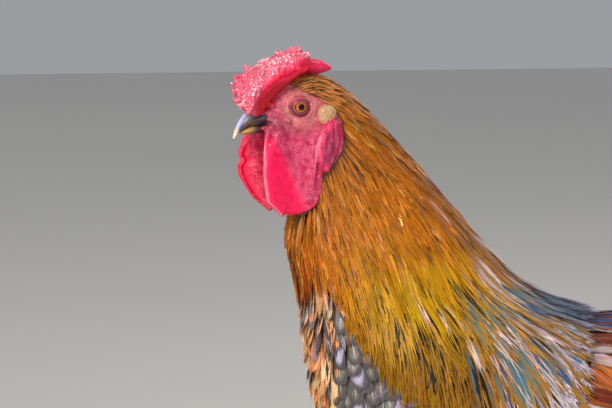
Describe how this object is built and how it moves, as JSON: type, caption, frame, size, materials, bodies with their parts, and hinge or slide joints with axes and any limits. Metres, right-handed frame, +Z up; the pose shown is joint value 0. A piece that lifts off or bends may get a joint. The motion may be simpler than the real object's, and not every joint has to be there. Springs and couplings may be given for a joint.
{
  "type": "standing rooster",
  "caption": "Life-size standing rose-combed rooster, head turned slightly to its left, with gold hackle, laced grey breast and sickle-feathered dark tail.",
  "frame": {"origin": "on the floor, under the centre of the bird's bounding box", "axes": "+Z up, the bird faces -X, its left side towards -Y; only the head is turned to the left"},
  "size_m": [0.526, 0.1964, 0.6008],
  "materials": {
    "hackle": "glossy golden feathers",
    "breast": "soft laced grey feathers",
    "wing": "rust-red feathers",
    "flight": "firm dark feathers",
    "fluff": "downy grey feathers",
    "tail": "glossy green-black feathers",
    "flesh": "pebbled moist skin",
    "skin": "fine folded skin",
    "ear": "short bristly feathers",
    "horn": "polished horn",
    "scales": "dry overlapping scales",
    "eye": "wet gloss"
  },
  "bodies": {
    "root": {"comb": "flesh", "ear_left": "ear", "ear_right": "ear", "earlobe_left": "flesh", "earlobe_right": "flesh", "eye_left": "eye", "eye_right": "eye", "flights_left": "flight", "flights_right": "flight", "hanger_left": "tail", "hanger_right": "tail", "head": "skin", "hind_claw_left": "horn", "hind_claw_right": "horn", "hind_toe_left": "scales", "hind_toe_right": "scales", "inner_claw_left": "horn", "inner_claw_right": "horn", "inner_toe_left": "scales", "inner_toe_right": "scales", "lesser_sickle_left": "tail", "lesser_sickle_right": "tail", "low_sickle_left": "tail", "low_sickle_right": "tail", "lower_beak": "horn", "middle_claw_left": "horn", "middle_claw_right": "horn", "middle_toe_left": "scales", "middle_toe_right": "scales", "neck": "hackle", "outer_claw_left": "horn", "outer_claw_right": "horn", "outer_toe_left": "scales", "outer_toe_right": "scales", "shank_left": "scales", "shank_right": "scales", "sickle_left": "tail", "sickle_right": "tail", "spur_left": "horn", "spur_right": "horn", "tail_coverts": "tail", "tail_left": "tail", "tail_right": "tail", "thigh_left": "fluff", "thigh_right": "fluff", "trunk": "breast", "upper_beak": "horn", "wattle_left": "flesh", "wattle_right": "flesh", "wing_left": "wing", "wing_right": "wing"}
  },
  "joints": []
}
